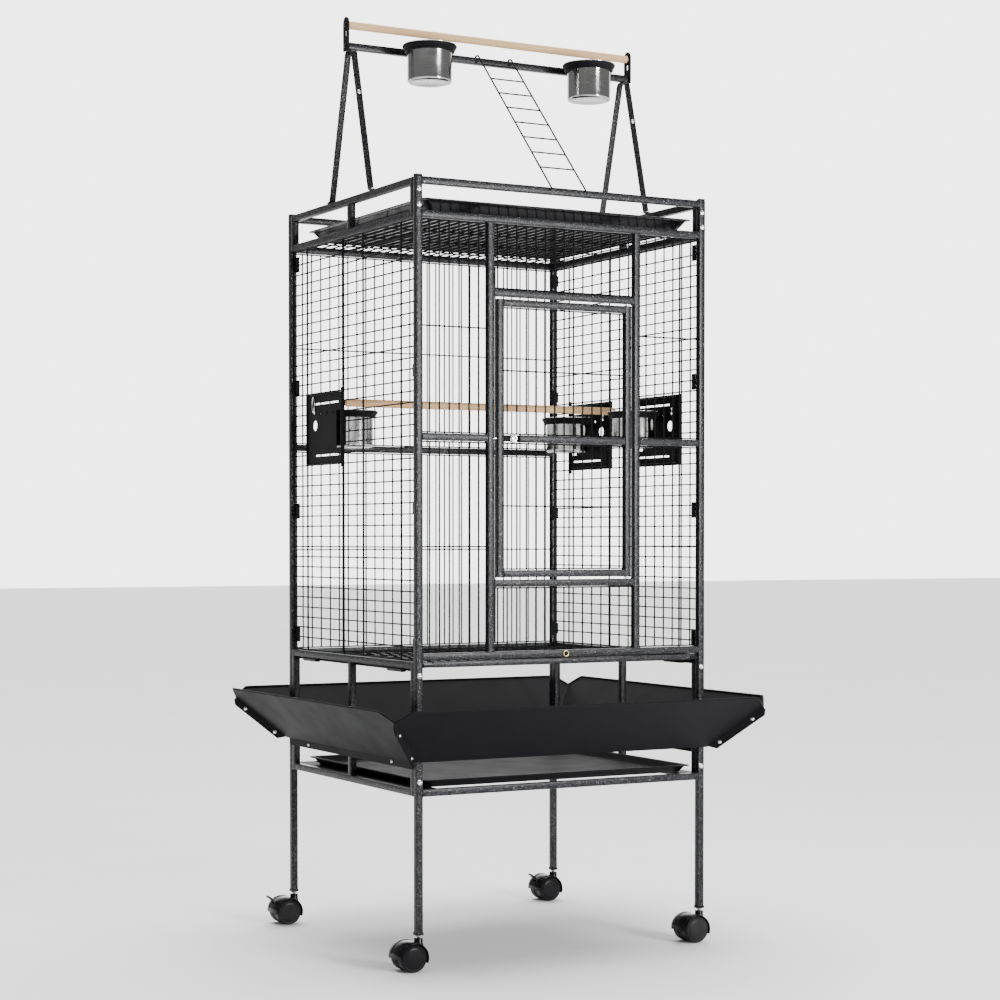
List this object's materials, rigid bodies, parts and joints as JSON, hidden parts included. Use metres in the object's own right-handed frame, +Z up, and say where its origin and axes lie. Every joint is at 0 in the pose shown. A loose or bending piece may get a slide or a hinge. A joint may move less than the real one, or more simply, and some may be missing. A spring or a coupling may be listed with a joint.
{
  "type": "bird cage on stand",
  "caption": "Bird cage on a castor stand with a play top: gridded black cage, front door, swing-out feeders, slide-out trays and grate, flared seed skirt, ladder and perches",
  "frame": {"origin": "on the floor, midway across the skirt's width and depth", "axes": "+Z up, +X to the right seen from the front, the door faces -Y"},
  "size_m": [0.81, 0.76, 1.735],
  "materials": {
    "hammered_coat": "hammered black and silver vein powder coat",
    "wire_coat": "semi-gloss black powder coat on wire",
    "sheet_coat": "smooth semi-gloss black powder coat on sheet",
    "cup_steel": "polished stainless steel",
    "latch_steel": "bright plated steel",
    "ring_brass": "brass-coloured, slightly dull",
    "perch_wood": "plain turned hardwood, unvarnished",
    "hood_plastic": "glossy black plastic",
    "wheel_plastic": "satin black plastic"
  },
  "bodies": {
    "cage": {"front_panel_frame": "hammered_coat", "back_panel_frame": "hammered_coat", "left_top_frame": "hammered_coat", "right_top_frame": "hammered_coat", "left_bottom_frame": "hammered_coat", "right_bottom_frame": "hammered_coat", "left_play_stand": "hammered_coat", "right_play_stand": "hammered_coat", "play_crossbar": "hammered_coat", "left_mesh_panel": "wire_coat", "right_mesh_panel": "wire_coat", "roof_grille": "wire_coat", "front_left_upper_grille": "wire_coat", "front_left_lower_grille": "wire_coat", "front_right_upper_grille": "wire_coat", "front_right_lower_grille": "wire_coat", "front_top_grille": "wire_coat", "front_bottom_grille": "wire_coat", "back_upper_grille": "wire_coat", "back_lower_grille": "wire_coat", "skirt_front": "sheet_coat", "skirt_back": "sheet_coat", "skirt_right": "sheet_coat", "skirt_left": "sheet_coat", "left_perch_bracket": "sheet_coat", "right_perch_bracket": "sheet_coat", "top_perch": "perch_wood", "inner_perch": "perch_wood", "left_play_cup_ring": "sheet_coat", "right_play_cup_ring": "sheet_coat", "grate_lock": "ring_brass"},
    "door": {"door_frame": "hammered_coat", "door_upper_grille": "wire_coat", "door_lower_grille": "wire_coat"},
    "latch": {"door_latch": "latch_steel"},
    "grate": {"floor_grate": "wire_coat"},
    "base_tray_slide": {"base_tray": "sheet_coat"},
    "play_tray_slide": {"play_tray": "sheet_coat"},
    "ladder_body": {"ladder": "wire_coat"},
    "left_play_cup_body": {"left_play_cup": "cup_steel"},
    "right_play_cup_body": {"right_play_cup": "cup_steel"},
    "left_feeder": {"left_feeder_door": "sheet_coat"},
    "left_feeder_cup_body": {"left_feeder_cup": "cup_steel"},
    "right_rear_feeder": {"right_rear_feeder_door": "sheet_coat"},
    "right_rear_feeder_cup_body": {"right_rear_feeder_cup": "cup_steel"},
    "right_front_feeder": {"right_front_feeder_door": "sheet_coat"},
    "right_front_feeder_cup_body": {"right_front_feeder_cup": "cup_steel"},
    "front_left_swivel_body": {"front_left_castor_hood": "hood_plastic"},
    "front_left_wheel_body": {"front_left_castor_wheels": "wheel_plastic"},
    "front_right_swivel_body": {"front_right_castor_hood": "hood_plastic"},
    "front_right_wheel_body": {"front_right_castor_wheels": "wheel_plastic"},
    "rear_left_swivel_body": {"rear_left_castor_hood": "hood_plastic"},
    "rear_left_wheel_body": {"rear_left_castor_wheels": "wheel_plastic"},
    "rear_left_lever_body": {"rear_left_brake_lever": "hood_plastic"},
    "rear_right_swivel_body": {"rear_right_castor_hood": "hood_plastic"},
    "rear_right_wheel_body": {"rear_right_castor_wheels": "wheel_plastic"},
    "rear_right_lever_body": {"rear_right_brake_lever": "hood_plastic"}
  },
  "joints": [
    {"name": "door_swing", "type": "hinge", "parent": "cage", "child": "door", "pos_m": [0.13465, -0.27615, 0.9445], "axis": [0, 0, 1], "range_deg": [0, 110]},
    {"name": "latch_slide", "type": "slide", "parent": "door", "child": "latch", "axis": [1, 0, 0], "range_m": [0, 0.007]},
    {"name": "grate_slide", "type": "slide", "parent": "cage", "child": "grate", "axis": [0, -1, 0], "range_m": [0, 0.48]},
    {"name": "base_tray_slide_out", "type": "slide", "parent": "cage", "child": "base_tray_slide", "axis": [0, -1, 0], "range_m": [0, 0.45]},
    {"name": "play_tray_slide_out", "type": "slide", "parent": "cage", "child": "play_tray_slide", "axis": [0, -1, 0], "range_m": [0, 0.45]},
    {"name": "ladder_swing", "type": "hinge", "parent": "cage", "child": "ladder_body", "pos_m": [0, 0, 1.68075], "axis": [-1, 0, 0], "range_deg": [0, 75]},
    {"name": "left_play_cup_lift", "type": "slide", "parent": "cage", "child": "left_play_cup_body", "axis": [0, 0, 1], "range_m": [0, 0.08]},
    {"name": "right_play_cup_lift", "type": "slide", "parent": "cage", "child": "right_play_cup_body", "axis": [0, 0, 1], "range_m": [0, 0.08]},
    {"name": "left_feeder_swing", "type": "hinge", "parent": "cage", "child": "left_feeder", "pos_m": [-0.30315, 0.033, 0.975], "axis": [0, 0, 1], "range_deg": [0, 110]},
    {"name": "left_feeder_cup_lift", "type": "slide", "parent": "left_feeder", "child": "left_feeder_cup_body", "axis": [0, 0, 1], "range_m": [0, 0.08]},
    {"name": "right_rear_feeder_swing", "type": "hinge", "parent": "cage", "child": "right_rear_feeder", "pos_m": [0.30315, 0.212, 0.975], "axis": [0, 0, 1], "range_deg": [0, 110]},
    {"name": "right_rear_feeder_cup_lift", "type": "slide", "parent": "right_rear_feeder", "child": "right_rear_feeder_cup_body", "axis": [0, 0, 1], "range_m": [0, 0.08]},
    {"name": "right_front_feeder_swing", "type": "hinge", "parent": "cage", "child": "right_front_feeder", "pos_m": [0.30315, -0.043, 0.975], "axis": [0, 0, 1], "range_deg": [0, 110]},
    {"name": "right_front_feeder_cup_lift", "type": "slide", "parent": "right_front_feeder", "child": "right_front_feeder_cup_body", "axis": [0, 0, 1], "range_m": [0, 0.08]},
    {"name": "front_left_swivel", "type": "hinge", "parent": "cage", "child": "front_left_swivel_body", "pos_m": [-0.29865, -0.27615, 0.05], "axis": [0, 0, 1], "continuous": true},
    {"name": "front_left_roll", "type": "hinge", "parent": "front_left_swivel_body", "child": "front_left_wheel_body", "pos_m": [-0.31765, -0.27615, 0.025], "axis": [0, 1, 0], "continuous": true},
    {"name": "front_right_swivel", "type": "hinge", "parent": "cage", "child": "front_right_swivel_body", "pos_m": [0.29865, -0.27615, 0.05], "axis": [0, 0, 1], "continuous": true},
    {"name": "front_right_roll", "type": "hinge", "parent": "front_right_swivel_body", "child": "front_right_wheel_body", "pos_m": [0.27965, -0.27615, 0.025], "axis": [0, 1, 0], "continuous": true},
    {"name": "rear_left_swivel", "type": "hinge", "parent": "cage", "child": "rear_left_swivel_body", "pos_m": [-0.29865, 0.27615, 0.05], "axis": [0, 0, 1], "continuous": true},
    {"name": "rear_left_roll", "type": "hinge", "parent": "rear_left_swivel_body", "child": "rear_left_wheel_body", "pos_m": [-0.31765, 0.27615, 0.025], "axis": [0, 1, 0], "continuous": true},
    {"name": "rear_left_brake", "type": "hinge", "parent": "rear_left_swivel_body", "child": "rear_left_lever_body", "pos_m": [-0.34069, 0.27615, 0.04574], "axis": [0, -1, 0], "range_deg": [0, 25]},
    {"name": "rear_right_swivel", "type": "hinge", "parent": "cage", "child": "rear_right_swivel_body", "pos_m": [0.29865, 0.27615, 0.05], "axis": [0, 0, 1], "continuous": true},
    {"name": "rear_right_roll", "type": "hinge", "parent": "rear_right_swivel_body", "child": "rear_right_wheel_body", "pos_m": [0.27965, 0.27615, 0.025], "axis": [0, 1, 0], "continuous": true},
    {"name": "rear_right_brake", "type": "hinge", "parent": "rear_right_swivel_body", "child": "rear_right_lever_body", "pos_m": [0.25661, 0.27615, 0.04574], "axis": [0, -1, 0], "range_deg": [0, 25]}
  ]
}
